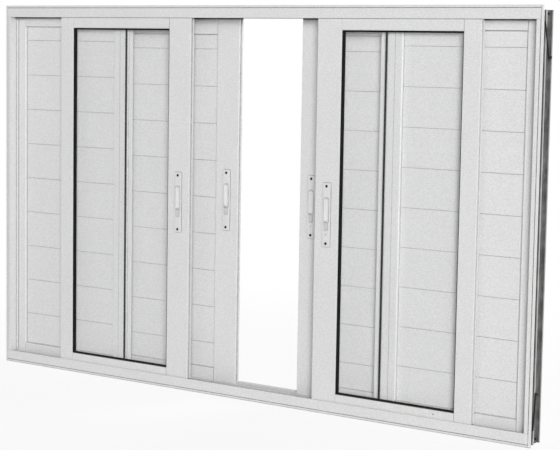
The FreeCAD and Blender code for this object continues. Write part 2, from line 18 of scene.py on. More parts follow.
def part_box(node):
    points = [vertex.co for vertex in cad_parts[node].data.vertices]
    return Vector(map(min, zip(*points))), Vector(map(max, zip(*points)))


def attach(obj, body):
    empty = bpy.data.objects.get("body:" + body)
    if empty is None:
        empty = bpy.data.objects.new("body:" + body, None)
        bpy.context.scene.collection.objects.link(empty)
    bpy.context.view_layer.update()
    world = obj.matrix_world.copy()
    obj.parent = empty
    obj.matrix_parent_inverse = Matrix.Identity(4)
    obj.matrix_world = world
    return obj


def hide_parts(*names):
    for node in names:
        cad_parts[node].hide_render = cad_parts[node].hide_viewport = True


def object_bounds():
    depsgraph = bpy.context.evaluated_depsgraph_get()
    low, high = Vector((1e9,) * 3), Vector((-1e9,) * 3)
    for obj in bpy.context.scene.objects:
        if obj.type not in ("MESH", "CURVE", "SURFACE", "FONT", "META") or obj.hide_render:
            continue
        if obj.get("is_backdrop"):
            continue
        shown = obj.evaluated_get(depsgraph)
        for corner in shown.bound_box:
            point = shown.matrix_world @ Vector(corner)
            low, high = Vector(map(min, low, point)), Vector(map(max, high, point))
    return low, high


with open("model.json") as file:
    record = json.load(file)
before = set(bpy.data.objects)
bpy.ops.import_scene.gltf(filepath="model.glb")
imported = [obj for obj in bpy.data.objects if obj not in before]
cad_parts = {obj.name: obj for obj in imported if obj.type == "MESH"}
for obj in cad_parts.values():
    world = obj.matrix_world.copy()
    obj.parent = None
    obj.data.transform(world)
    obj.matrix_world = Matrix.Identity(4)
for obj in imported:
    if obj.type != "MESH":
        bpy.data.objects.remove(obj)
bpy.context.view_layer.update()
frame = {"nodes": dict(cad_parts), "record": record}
nodes = frame["nodes"]

# %% [markdown]
# ## The camera
# The photographer stood to the right of the window, at about the height of its head, and used
# a long lens: the far end of the window is only a little smaller than the near end. The camera
# is placed by its position in metres and three turns in radians, which is easier to read than
# a matrix.

# %% Camera
HEADING, PITCH, ROLL = 0.6299, 0.1031, 0.0163
CAMERA_PLACE = Vector((3.1375, -4.145, 1.0742))
SENSOR = 36            # millimetres across
IMAGE_WIDE = 560       # pixels
FOCAL_PIXELS = 1711    # the focal length in pixels of that image

lens = bpy.data.cameras.new("photo_camera")
lens.sensor_width = SENSOR
lens.lens = FOCAL_PIXELS / IMAGE_WIDE * SENSOR
lens.clip_start = 0.1
lens.clip_end = 60
camera = bpy.data.objects.new("photo_camera", lens)
bpy.context.scene.collection.objects.link(camera)
bpy.context.scene.camera = camera

level = Matrix(((1, 0, 0), (0, 0, -1), (0, 1, 0)))
heading = Matrix.Rotation(HEADING, 3, "Y")
pitch = Matrix.Rotation(PITCH, 3, "X")
roll = Matrix.Rotation(ROLL, 3, "Z")
across, down, away = roll @ pitch @ heading @ level
turned = Matrix((across, -down, -away)).transposed()
camera.matrix_world = Matrix.Translation(CAMERA_PLACE) @ turned.to_4x4()
print("camera turned", [round(math.degrees(a), 2) for a in turned.to_euler()])

# %% [markdown]
# ## Helpers for shader nodes
# A material is a small network. `add` makes one node, links or fills its inputs, and gives it
# back, so that a network reads from top to bottom like a recipe.

# %% Node helpers
def add(tree, kind, inputs=None, **settings):
    """One node of the tree; a socket is linked to its input, anything else fills it."""
    node = tree.nodes.new(kind)
    for key, value in settings.items():
        setattr(node, key, value)
    for key, value in (inputs or {}).items():
        if isinstance(value, bpy.types.NodeSocket):
            tree.links.new(value, node.inputs[key])
        else:
            node.inputs[key].default_value = value
    return node


def new_group(name, inputs, outputs):
    """A shader node group with named sockets, and its two end nodes."""
    group = bpy.data.node_groups.new(name, "ShaderNodeTree")
    for socket, kind, value in inputs:
        made = group.interface.new_socket(socket, in_out="INPUT", socket_type=kind)
        if value is not None:
            made.default_value = value
    for socket, kind in outputs:
        group.interface.new_socket(socket, in_out="OUTPUT", socket_type=kind)
    return group, group.nodes.new("NodeGroupInput"), group.nodes.new("NodeGroupOutput")


def spread(tree, value, low, high, to_low, to_high):
    """Maps a value from one range to another, held at the ends."""
    mapped = add(tree, "ShaderNodeMapRange", {
        "Value": value, "From Min": low, "From Max": high,
        "To Min": to_low, "To Max": to_high})
    return mapped.outputs["Result"]


def maths(tree, operation, a, b=0.0):
    """One Math node; an operation on a single value leaves the second one alone."""
    return add(tree, "ShaderNodeMath", {0: a, 1: b}, operation=operation).outputs[0]


def product(tree, a, b):
    """Two values multiplied, as when one mask limits another."""
    return maths(tree, "MULTIPLY", a, b)


def noise(tree, place, scale, detail, **more):
    """The value of a noise with scale cells to the metre and detail finer layers."""
    made = add(tree, "ShaderNodeTexNoise", {
        "Vector": place, "Scale": scale, "Detail": detail, **more})
    return made.outputs["Fac"]


# %% [markdown]
# ## Powder coat
# Powder coat is sprayed on dry and melted in an oven. It flows into a film with a faint skin
# of dimples, like orange peel, a millimetre or two apart, and the pigment gives it a speckle.
# It could be painted as an image, but noise in Object coordinates has no seams and stays sharp
# from close by. Three noises make it. The finest gives the dimples, as a height. A speckle of
# a few millimetres and a cloud of about twenty centimetres give the tone, a number near one to
# multiply the colour with.

# %% Group: powder coat skin
FLOAT, VECTOR = "NodeSocketFloat", "NodeSocketVector"
PEEL_SCALE, CLOUD_SCALE = 750.0, 5.0   # cells to the metre
skin, skin_in, skin_out = new_group(
    "powder_skin",
    [("Place", VECTOR, None), ("Speckle Scale", FLOAT, 280.0), ("Cloud Change", FLOAT, 0.05),
     ("Speckle Change", FLOAT, 0.5)],
    [("Height", FLOAT), ("Tone", FLOAT)])
skin_place = skin_in.outputs["Place"]
speckles = noise(skin, skin_place, skin_in.outputs["Speckle Scale"], 3.0)
clouds = noise(skin, skin_place, CLOUD_SCALE, 3.0)
cloud = product(skin, maths(skin, "SUBTRACT", clouds, 0.5), skin_in.outputs["Cloud Change"])
speckle = product(skin, maths(skin, "SUBTRACT", speckles, 0.5),
                  skin_in.outputs["Speckle Change"])
tone = maths(skin, "ADD", maths(skin, "ADD", cloud, speckle), 1.0)
skin.links.new(noise(skin, skin_place, PEEL_SCALE, 1.0), skin_out.inputs["Height"])
skin.links.new(tone, skin_out.inputs["Tone"])
print("group", skin.name)

# %% [markdown]
# ## Settled dust
# A window that has stood in a yard has a little dust on whatever faces up: the sill's floor,
# the tops of the rails and the ledges of the flanges. The mask is the upward part of the
# normal, broken up by noise.

# %% Group: settled dust
dust, dust_in, dust_out = new_group(
    "settled_dust",
    [("Place", VECTOR, None), ("Amount", FLOAT, 0.25)],
    [("Mask", FLOAT)])
facing = add(dust, "ShaderNodeNewGeometry")
upward = add(dust, "ShaderNodeSeparateXYZ", {"Vector": facing.outputs["Normal"]})
ledge = spread(dust, upward.outputs["Z"], 0.3, 0.9, 0.0, 1.0)   # from steep to level
patches = noise(dust, dust_in.outputs["Place"], 45.0, 5.0)
mask = product(dust, ledge, spread(dust, patches, 0.35, 0.65, 0.3, 1.0))
dust.links.new(product(dust, mask, dust_in.outputs["Amount"]), dust_out.inputs["Mask"])
print("group", dust.name)

# %% [markdown]
# ## Painted shade and grime in joints and channels
# The grooves of the flanges, the gaps between the slats, the corners where a rail meets a
# stile and the open channels of the frame are darkened with painted shade and some grime. The
# Ambient Occlusion node finds such places, because little of the surroundings is open to them,
# and noise breaks the line up. A short reach finds the joints, and a long reach the channels.

# %% Group: painted shade and grime in joints and channels
shade_and_grime, shade_and_grime_in, shade_and_grime_out = new_group(
    "joint_shade_and_grime",
    [("Place", VECTOR, None), ("Joint Reach", FLOAT, 0.003), ("Joint Amount", FLOAT, 0.9),
     ("Channel Reach", FLOAT, 0.022), ("Channel Amount", FLOAT, 0.5)],
    [("Mask", FLOAT)])
near_open = add(shade_and_grime, "ShaderNodeAmbientOcclusion", {
    "Distance": shade_and_grime_in.outputs["Joint Reach"]}, samples=8)
far_open = add(shade_and_grime, "ShaderNodeAmbientOcclusion", {
    "Distance": shade_and_grime_in.outputs["Channel Reach"]}, samples=8, only_local=True)
# one is wide open, and less is closed in
joint = product(shade_and_grime, spread(shade_and_grime, near_open.outputs["AO"], 0.7, 0.97, 1.0, 0.0),
                shade_and_grime_in.outputs["Joint Amount"])
channel = product(shade_and_grime, spread(shade_and_grime, far_open.outputs["AO"], 0.1, 0.5, 1.0, 0.0),
                  shade_and_grime_in.outputs["Channel Amount"])
streaks = noise(shade_and_grime, shade_and_grime_in.outputs["Place"], 60.0, 4.0)
# the mask darkens joints and channels with painted shade, broken up by noise like grime
mask = product(shade_and_grime, maths(shade_and_grime, "MAXIMUM", joint, channel),
               spread(shade_and_grime, streaks, 0.3, 0.7, 0.65, 1.0))
shade_and_grime.links.new(mask, shade_and_grime_out.inputs["Mask"])
print("group", shade_and_grime.name)

# %% [markdown]
# ## Soft edges
# No extrusion has a perfectly sharp edge, and the narrow highlight on a rounded edge is what
# tells the eye where one bar ends. The Bevel node rounds the shading at edges without a change
# to the CAD mesh. The bump goes on top of the rounded normal. Where the rounded normal differs
# from the flat one there is an edge, and that gives a mask: the white paint gets a painted
# highlight there, and the steel wears there.

# %% Group: soft edges with a bump
edges, edges_in, edges_out = new_group(
    "soft_edges",
    [("Radius", FLOAT, 0.0008), ("Height", FLOAT, 0.0), ("Depth", FLOAT, 0.00002)],
    [("Normal", VECTOR), ("Edge", FLOAT)])
rounded = add(edges, "ShaderNodeBevel", {"Radius": edges_in.outputs["Radius"]}, samples=4)
bumped = add(edges, "ShaderNodeBump", {
    "Height": edges_in.outputs["Height"], "Distance": edges_in.outputs["Depth"],
    "Normal": rounded.outputs["Normal"]})
flat = add(edges, "ShaderNodeNewGeometry")
# one where the two normals agree, and less at an edge
along = add(edges, "ShaderNodeVectorMath", {
    0: rounded.outputs["Normal"], 1: flat.outputs["Normal"]}, operation="DOT_PRODUCT")
edges.links.new(bumped.outputs["Normal"], edges_out.inputs["Normal"])
edges.links.new(spread(edges, along.outputs["Value"], 0.8, 0.99, 1.0, 0.0),
                edges_out.inputs["Edge"])
print("group", edges.name)


# %% [markdown]
# ## The start of every material
# Each finish is a Principled BSDF that reads Object coordinates, so its pattern stays on the
# piece. `use_group` places one of the effects above in it with its own numbers, and `tinted`
# and `blended` work on colours on their way to the shader.

# %% Start of every material
def new_material(name):
    """A material with its tree, its Principled BSDF and the Object coordinates."""
    material = bpy.data.materials.new(name)
    material.use_nodes = True
    tree = material.node_tree
    shader = tree.nodes["Principled BSDF"]
    place = add(tree, "ShaderNodeTexCoord").outputs["Object"]
    return material, tree, shader, place


def use_group(tree, group, inputs):
    """Places a group in a tree and links or fills its inputs."""
    return add(tree, "ShaderNodeGroup", inputs, node_tree=group)


def tinted(tree, colour, tone):
    """The colour times a tone near one."""
    mixed = add(tree, "ShaderNodeVectorMath", {0: colour, "Scale": tone}, operation="SCALE")
    return mixed.outputs["Vector"]


def blended(tree, share, colour_a, colour_b):
    """From colour a to colour b as share goes from zero to one."""
    mixed = add(tree, "ShaderNodeMix", {"Factor": share, 6: colour_a, 7: colour_b},
                data_type="RGBA")
    return mixed.outputs[2]


# %% [markdown]
# ## Painted shade on the frame
# Some places on the frame are darkened as painted shade: the channels that face the wall, the
# groove of the bead along the flange, the track over the shutters, where it stands for the
# shadow of the head's front flange, and the front rail of the sill, which the glass leaves run
# on. The ribs between the channels have caps: the front half of the middle one and the rear
# one are shaded dark, and the rest is left lighter.
# The sizes of the frame say where these places are, so the mask is worked out from the depth
# and from the distance to the outer edge, which is the same all the way round.

# %% Group: painted shade on the frame
HALF_WIDE, TALL = 1.0, 1.2   # the frame's outer size, in metres as all lengths in this cell
CHANNEL_DEPTH, CHANNEL_EDGE = (-0.0375, 0.0386), (0.0125, 0.0197)
CAP_DEPTH, CAP_EDGE = (-0.0375, 0.0397), (0.011, 0.0125)
CAP_FRONT, CAP_REAR = (-0.0012, 0.0, 0.9, 0.3), (0.02, 0.034, 0.0, 0.7)   # depths, shares
GROOVE_DEPTH, GROOVE_EDGE = (-0.0397, -0.038), (0.0073, 0.0097)
TRACK_DEPTH, TRACK_FADE, TRACK_END = (-0.02, 0.0375), (1.1565, 1.1595), 0.0205
RAIL_DEPTH, RAIL_HEIGHT, RAIL_SHARE = (-0.032, -0.017), (0.03, 0.0356), 0.8
wall, wall_in, wall_out = new_group(
    "frame_painted_shade", [("Place", VECTOR, None)], [("Mask", FLOAT)])


def between(value, low, high):
    """One where a value lies between low and high, else zero."""
    return product(wall, maths(wall, "GREATER_THAN", value, low),
                   maths(wall, "LESS_THAN", value, high))


apart = add(wall, "ShaderNodeSeparateXYZ", {"Vector": wall_in.outputs["Place"]})
depth, height = apart.outputs["Y"], apart.outputs["Z"]
from_side = maths(wall, "SUBTRACT", HALF_WIDE, maths(wall, "ABSOLUTE", apart.outputs["X"]))
from_edge = maths(wall, "MINIMUM", from_side, maths(wall, "SUBTRACT", TALL, height))
from_rim = maths(wall, "MINIMUM", from_edge, height)
# the channels, the groove, the sill's rail and the rib caps are darkened as painted shade
channel = product(wall, between(depth, *CHANNEL_DEPTH), between(from_edge, *CHANNEL_EDGE))
groove = product(wall, between(depth, *GROOVE_DEPTH), between(from_rim, *GROOVE_EDGE))
# the track over the shutters is darkened as the painted shadow of the head's front flange
track = product(wall, between(depth, *TRACK_DEPTH),
                spread(wall, height, *TRACK_FADE, 0.0, 1.0))
track = product(wall, track, maths(wall, "GREATER_THAN", from_side, TRACK_END))
rail = product(wall, between(depth, *RAIL_DEPTH), between(height, *RAIL_HEIGHT))
cap = product(wall, between(depth, *CAP_DEPTH), between(from_edge, *CAP_EDGE))
cap_share = maths(wall, "MAXIMUM", spread(wall, depth, *CAP_FRONT),
                  spread(wall, depth, *CAP_REAR))
mask = product(wall, cap, cap_share)
for place_mask in (channel, groove, track, product(wall, rail, RAIL_SHARE)):
    mask = maths(wall, "MAXIMUM", mask, place_mask)
shade_breakup = noise(wall, wall_in.outputs["Place"], 30.0, 6.0)
patchy = spread(wall, shade_breakup, 0.3, 0.6, 0.8, 0.97)
wall.links.new(product(wall, mask, patchy), wall_out.inputs["Mask"])
print("group", wall.name)

# %% [markdown]
# ## White paint on the frame, the leaves and the slats
# Both white finishes are one recipe: the paint's own white times the tone of its skin, a
# painted highlight a little brighter along the edges, dust on the ledges, painted shade and
# grime in the joints, and painted shade on the frame. The slats are drawn through a die before
# they are coated, so theirs has faint lines along their length as well.

# %% White powder coat
WHITE = (0.735, 0.737, 0.735)
# the white of the painted highlight along the edges
EDGE_HIGHLIGHT_WHITE = (0.86, 0.86, 0.86, 1.0)
DUST_GREY = (0.42, 0.40, 0.37, 1.0)
# the grey of painted shade and grime
SHADE_AND_GRIME_GREY = (0.07, 0.068, 0.065, 1.0)
LINE_SCALE = (1.2, 260.0, 260.0)   # cells to the metre: long along a slat and fine across it
PEEL_DEPTH = 0.00008               # metres
LEDGE_DUST, EDGE_HIGHLIGHT = 0.3, 0.7      # how much dust lies on ledges, how strong the painted edge highlight is
SATIN, DULLED = (0.34, 0.44), 0.45   # the paint's roughness, and what dust and dirt add to it


def powder_coat(name, die_lines, joints):
    """Satin paint with dust, painted shade and grime, and a painted highlight on the edges.

    die_lines is how much the lines along a slat change the tone, and joints is how dark the
    painted shade and grime in the joints get."""
    material, tree, shader, place = new_material(name)
    coat = use_group(tree, skin, {"Place": place})
    drawn = add(tree, "ShaderNodeMapping", {"Vector": place, "Scale": LINE_SCALE})
    lines = noise(tree, drawn.outputs["Vector"], 1.0, 2.0)
    line_tone = spread(tree, lines, 0.2, 0.8, 1.0 - die_lines, 1.0 + die_lines)
    soft = use_group(tree, edges, {"Height": coat.outputs["Height"], "Depth": PEEL_DEPTH})
    settled = use_group(tree, dust, {"Place": place, "Amount": LEDGE_DUST}).outputs["Mask"]
    joint_shade_grime = use_group(tree, shade_and_grime, {"Place": place, "Joint Amount": joints}).outputs["Mask"]
    frame_shade = use_group(tree, wall, {"Place": place}).outputs["Mask"]
    tone = product(tree, coat.outputs["Tone"], line_tone)
    # the edges are brightened with a painted highlight
    edge_highlight = product(tree, soft.outputs["Edge"], EDGE_HIGHLIGHT)
    paint = blended(tree, edge_highlight, tinted(tree, WHITE, tone), EDGE_HIGHLIGHT_WHITE)
    dusty = blended(tree, settled, paint, DUST_GREY)
    # painted shade and grime in the joints, and the painted shade on the frame
    shade_and_soil = maths(tree, "MAXIMUM", joint_shade_grime, frame_shade)
    tree.links.new(blended(tree, shade_and_soil, dusty, SHADE_AND_GRIME_GREY), shader.inputs["Base Color"])
    dull = maths(tree, "MAXIMUM", settled, shade_and_soil)
    satin = spread(tree, coat.outputs["Height"], 0.3, 0.7, *SATIN)
    rough = maths(tree, "ADD", product(tree, dull, DULLED), satin)
    tree.links.new(rough, shader.inputs["Roughness"])
    tree.links.new(soft.outputs["Normal"], shader.inputs["Normal"])
    return material


finishes = {
    "white_powder_coat": powder_coat("white_powder_coat", die_lines=0.0, joints=0.62),
    "white_slats": powder_coat("white_slats", die_lines=0.012, joints=0.48),
}
print("white finishes", list(finishes))

# %% [markdown]
# ## Moulded plastic, nylon, rubber and pile
# Moulded pieces take the fine grain of their mould, and rubber and pile are nearly black with
# a little dust that greys what faces up. One recipe with its own numbers for each keeps them
# apart: a colour, how rough the surface is, the size and depth of its grain, how much the tone
# moves, how much dust it holds, and how dark its joints get with painted shade and grime, as
# in the groove round a plate's cup.

# %% Group: moulded grain
grain, grain_in, grain_out = new_group(
    "moulded_grain",
    [("Place", VECTOR, None), ("Grain Scale", FLOAT, 1400.0), ("Change", FLOAT, 0.06)],
    [("Height", FLOAT), ("Tone", FLOAT)])
fine = add(grain, "ShaderNodeTexVoronoi", {
    "Vector": grain_in.outputs["Place"], "Scale": grain_in.outputs["Grain Scale"]})
drift = noise(grain, grain_in.outputs["Place"], 38.0, 4.0)
move = product(grain, maths(grain, "SUBTRACT", drift, 0.5), grain_in.outputs["Change"])
grain.links.new(fine.outputs["Distance"], grain_out.inputs["Height"])
grain.links.new(maths(grain, "ADD", move, 1.0), grain_out.inputs["Tone"])
print("group", grain.name)


# %% Moulded finishes
def moulded(name, colour, rough, grain_scale, grain_depth, change, shine, dust_share,
            joint_shade_grime_share=0.0):
    """A moulded or extruded soft finish.

    The grain has a scale in cells to the metre and a depth in metres, change is how much the
    tone moves, and shine is the constant specular level. The shares say how much dust lies on
    what faces up and how dark the painted shade and grime in the joints get."""
    material, tree, shader, place = new_material(name)
    mould = use_group(tree, grain, {
        "Place": place, "Grain Scale": grain_scale, "Change": change})
    soft = use_group(tree, edges, {
        "Height": mould.outputs["Height"], "Depth": grain_depth, "Radius": 0.0004})
    settled = use_group(tree, dust, {"Place": place, "Amount": dust_share})
    own = tinted(tree, colour, mould.outputs["Tone"])
    shade_and_soil = blended(tree, settled.outputs["Mask"], own, DUST_GREY)
    # the joints darken with painted shade and grime, as in the groove round a plate's cup
    if joint_shade_grime_share:
        joint_shade_grime = use_group(tree, shade_and_grime, {
            "Place": place, "Joint Reach": 0.0025, "Joint Amount": joint_shade_grime_share,
            "Channel Amount": 0.0})
        shade_and_soil = blended(tree, joint_shade_grime.outputs["Mask"], shade_and_soil, SHADE_AND_GRIME_GREY)
    tree.links.new(shade_and_soil, shader.inputs["Base Color"])
    uneven = spread(tree, mould.outputs["Tone"], 0.95, 1.05, rough - 0.05, rough + 0.05)
    tree.links.new(uneven, shader.inputs["Roughness"])
    tree.links.new(soft.outputs["Normal"], shader.inputs["Normal"])
    shader.inputs["Specular IOR Level"].default_value = shine
    return material


# colour, rough, grain scale, grain depth, change, shine, dust share and painted shade share
RECIPES = {
    "white_plastic": (WHITE, 0.33, 1500.0, 0.00001, 0.06, 0.5, 0.15, 0.97),
    "grey_plastic": ((0.67, 0.67, 0.67), 0.42, 1200.0, 0.00002, 0.08, 0.5, 0.2, 0.45),
    "nylon": ((0.68, 0.66, 0.58), 0.48, 900.0, 0.00002, 0.12, 0.4, 0.4),
    "black_rubber": ((0.006, 0.006, 0.006), 0.62, 1100.0, 0.00003, 0.5, 0.12, 0.1),
    "black_pile": ((0.005, 0.005, 0.005), 0.9, 2200.0, 0.0002, 0.8, 0.05, 0.03)}
for name, recipe in RECIPES.items():
    finishes[name] = moulded(name, *recipe)
print("moulded finishes", list(RECIPES))


# %% [markdown]
# ## Blackened and painted steel
# The screws are black-oxide steel: a thin dark skin on bright metal, gone along the edges of
# the cross where a driver has turned. The straps are dipped in black paint, chipped here and
# there to rust. A noise with a hard step makes the chips, and its depth goes into the bump.

# %% Steel finishes
def dark_steel(name, skin_colour, bare_colour, bare_from, rough, metal):
    """A dark skin over bare metal or rust that shows where noise passes bare_from."""
    material, tree, shader, place = new_material(name)
    chips = noise(tree, place, 420.0, 5.0)
    bare = spread(tree, chips, bare_from, bare_from + 0.03, 0.0, 1.0)
    soft = use_group(tree, edges, {
        "Height": maths(tree, "SUBTRACT", 1.0, bare), "Depth": 0.00005, "Radius": 0.0003})
    worn = maths(tree, "MAXIMUM", bare, product(tree, soft.outputs["Edge"], 0.12))
    rougher = spread(tree, worn, 0.0, 1.0, rough, rough + 0.25)
    tree.links.new(blended(tree, worn, skin_colour, bare_colour), shader.inputs["Base Color"])
    tree.links.new(rougher, shader.inputs["Roughness"])
    tree.links.new(soft.outputs["Normal"], shader.inputs["Normal"])
    shader.inputs["Metallic"].default_value = metal
    shader.inputs["Specular IOR Level"].default_value = 0.1
    return material


finishes["dark_screws"] = dark_steel(
    "dark_screws", (0.006, 0.006, 0.007, 1), (0.22, 0.21, 0.2, 1),
    bare_from=0.68, rough=0.5, metal=0.2)
finishes["anchor_steel"] = dark_steel(
    "anchor_steel", (0.008, 0.008, 0.009, 1), (0.13, 0.055, 0.025, 1),
    bare_from=0.64, rough=0.5, metal=0.0)
print("steel finishes ready")

# %% [markdown]
# ## Clear glass
# Float glass is clear, with a trace of green that shows only at its edges, and hands leave
# faint smears on it. The Principled BSDF with full transmission refracts and mirrors, and its
# Specular Tint holds the mirroring of the white studio down, so that the black seals stay
# black behind it. Lamp light would be blocked by it, so shadow rays and scattered rays pass
# through a plain transparent shader.

# %% Glass
glass, tree, shader, place = new_material("clear_glass")
shader.inputs["Base Color"].default_value = (0.992, 0.997, 0.995, 1)
shader.inputs["Transmission Weight"].default_value = 1.0
shader.inputs["IOR"].default_value = 1.5
shader.inputs["Specular Tint"].default_value = (0.4, 0.4, 0.4, 1)
wiped = add(tree, "ShaderNodeMapping", {"Vector": place, "Scale": (9.0, 9.0, 3.5)})
smears = noise(tree, wiped.outputs["Vector"], 1.0, 6.0, Distortion=1.5)
tree.links.new(spread(tree, smears, 0.5, 0.75, 0.0, 0.035), shader.inputs["Roughness"])
see_through = add(tree, "ShaderNodeBsdfTransparent", {"Color": (0.99, 0.99, 0.99, 1)})
ray = add(tree, "ShaderNodeLightPath")
lit = maths(tree, "MAXIMUM", ray.outputs["Is Shadow Ray"], ray.outputs["Is Diffuse Ray"])
either = add(tree, "ShaderNodeMixShader", {
    0: lit, 1: shader.outputs[0], 2: see_through.outputs[0]})
tree.links.new(either.outputs[0], tree.nodes["Material Output"].inputs["Surface"])
finishes["clear_glass"] = glass
print("glass ready")

# %% [markdown]
# ## Dressing the CAD model
# The record names a material slot for each node of the CAD model. Its finish goes on the node,
# and the mesh itself stays as it is. The small pieces that follow stand for some of the nodes.

# %% Dress the CAD nodes
for row in frame["record"]["subparts"]:
    target = nodes[row["node"]]
    material = finishes[row["material_slot"]]
    if not target.material_slots:
        target.data.materials.append(material)
    for slot in target.material_slots:
        slot.material = material

# %% [markdown]
# ## Skins from loops of points
# Most small pieces here are a loop of points carried along a line: a turned screw is a circle
# that widens and narrows, a strap is a flat loop that follows a bend. One helper turns an
# array of loops into a closed mesh, so that each piece only has to compute its points.

# %% Skins from loops
MM = 0.001
SHARP = 35   # degrees; an edge that bends by more stays sharp


def skin_of_loops(name, parts, ring=False, crease=SHARP):
    """A closed mesh from an array of parts, rows, columns and xyz in millimetres.

    Each row is a closed loop of points. Four-sided faces join each loop to the next. With ring
    the last loop joins the first, and otherwise a fan to its middle point closes each end.
    Edges that bend by more than crease degrees stay sharp."""
    parts = np.asarray(parts, dtype=float) * MM
    count, rows, columns = parts.shape[:3]
    spans = rows if ring else rows - 1
    part, row, column = np.meshgrid(
        np.arange(count), np.arange(spans), np.arange(columns), indexing="ij")

    def number(r, c):
        return (part * rows + r % rows) * columns + c % columns

    quads = np.stack([number(row, column), number(row, column + 1),
                      number(row + 1, column + 1), number(row + 1, column)], axis=-1)
    points = parts.reshape(-1, 3)
    faces = quads.reshape(-1, 4).tolist()
    if not ring:
        middles = parts[:, [0, -1]].mean(axis=2)
        part, end, column = np.meshgrid(
            np.arange(count), np.arange(2), np.arange(columns), indexing="ij")
        first = (part * rows + end * (rows - 1)) * columns
        tip = len(points) + part * 2 + end
        fans = np.stack([first + column, first + (column + 1) % columns, tip], axis=-1)
        points = np.vstack([points, middles.reshape(-1, 3)])
        faces += fans.reshape(-1, 3).tolist()
    mesh = bpy.data.meshes.new(name)
    mesh.from_pydata(points.tolist(), [], faces)
    shell = bmesh.new()
    shell.from_mesh(mesh)
    bmesh.ops.recalc_face_normals(shell, faces=shell.faces)
    shell.to_mesh(mesh)
    shell.free()
    mesh.shade_smooth()
    mesh.set_sharp_from_angle(angle=math.radians(crease))
    piece = bpy.data.objects.new(name, mesh)
    bpy.context.scene.collection.objects.link(piece)
    return piece


def finish_piece(piece, slot, *stands_for):
    """Gives a new piece its finish, its body and the nodes that it stands for."""
    piece.data.materials.append(finishes[slot])
    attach(piece, "root")
    if stands_for:
        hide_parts(*stands_for)
    print(piece.name, len(piece.data.polygons), "faces for", stands_for)


def rounded_corners(corners, steps):
    """A closed outline whose corners (x, y, radius) become arcs.

    Each corner is a curve from one radius before it to one radius after it, pulled towards the
    corner itself: the square of what is left of the way, twice the way times what is left, and
    the square of the way weigh its start, the corner and its end."""
    corners = np.asarray(corners, dtype=float)
    here, radius = corners[:, :2], corners[:, 2:]
    back = np.roll(here, 1, axis=0) - here
    ahead = np.roll(here, -1, axis=0) - here
    start = here + back / np.linalg.norm(back, axis=1, keepdims=True) * radius
    end = here + ahead / np.linalg.norm(ahead, axis=1, keepdims=True) * radius
    way = np.linspace(0, 1, steps)[None, :, None]
    curve = ((1 - way) ** 2 * start[:, None] + 2 * way * (1 - way) * here[:, None]
             + way ** 2 * end[:, None])
    return curve.reshape(-1, 2)


def rounded_box(half, low, high, radii, steps):
    """The outline of a box with rounded corners; radii are those of its foot and its top."""
    return rounded_corners([(-half, low, radii[0]), (half, low, radii[0]),
                            (half, high, radii[1]), (-half, high, radii[1])], steps)


# %% [markdown]
# ## Screws
# The pull plates are held by pan-head screws with a cross recess, and longer ones tie the head
# and the sill to the jambs. A screw is a turned piece: a profile of radius and height spun
# about its axis. The cross can't be turned, so the height also drops wherever a point of the
# head lies inside one of the two arms. Each screw stands at its own angle, as a driver leaves
# it.

# %% Turned screws
def smooth_step(low, high, value):
    """Zero below low, one above high, and a soft s-curve between them."""
    share = np.clip((value - low) / (high - low), 0, 1)
    return share * share * (3 - 2 * share)


def turned_screw(head, high, shank, long, turn, around=56):
    """Loops of a screw that stands on height zero, its head up, as rows, columns and xyz.

    The head's height is a flat-topped dome: high times one minus 0.45 times the share of the
    radius to the power 2.4. The cross drops it by the product of two soft steps: how near the
    point is to an arm's middle line, and how far inside the arm's end."""
    ring = np.concatenate([np.linspace(0.04, 0.66, 15), np.linspace(0.72, 0.97, 6)]) * head
    dome = high * (1 - 0.45 * (ring / head) ** 2.4)
    rim_low = dome[-1] * np.array([0.82, 0.5, 0.12, 0.0])
    rim_out = head * np.array([0.995, 1.0, 0.995, 0.96])
    stem = np.array([shank * 1.05, shank, shank, shank * 0.25])
    stem_high = np.array([0.0, -0.4, -long + 1.6, -long])
    radius = np.concatenate([ring, rim_out, stem])
    height = np.concatenate([dome, rim_low, stem_high])
    angle = np.linspace(0, 2 * np.pi, around, endpoint=False) + turn
    x = radius[:, None] * np.cos(angle)
    y = radius[:, None] * np.sin(angle)
    z = np.repeat(height[:, None], around, axis=1)
    a, b = radius[:, None] * np.cos(angle - turn), radius[:, None] * np.sin(angle - turn)
    arm = 1 - smooth_step(0.09 * head, 0.19 * head, np.minimum(abs(a), abs(b)))
    inside = 1 - smooth_step(0.5 * head, 0.62 * head, np.maximum(abs(a), abs(b)))
    z = z - np.where(z > 0, 0.62 * high * arm * inside, 0)
    return np.stack([x, y, z], axis=-1)


def low_high(node):
    """A node's box in millimetres, as two arrays."""
    low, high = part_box(node)
    return np.array(low) / MM, np.array(high) / MM


PLATES = ["left_glass_pull_plate", "left_shutter_pull_plate",
          "right_shutter_pull_plate", "right_glass_pull_plate"]
SCREW_REACH = 84.5   # from the plate's middle; the lengths of all pieces are in millimetres
PLATE_SCREW = {"head": 3.7, "high": 1.4, "shank": 1.6, "long": 9.0}
screws = []
for k, plate in enumerate(PLATES):
    low, high = low_high(plate)
    middle = (low + high) / 2
    for s in (-1, 1):
        loops = turned_screw(**PLATE_SCREW, turn=0.5 + 1.3 * k + 0.7 * s)
        screws.append(np.stack([middle[0] + loops[..., 0], low[1] - loops[..., 2],
                                middle[2] + s * SCREW_REACH + loops[..., 1]], axis=-1))
finish_piece(skin_of_loops("plate_screws", screws), "dark_screws", "handle_screws")

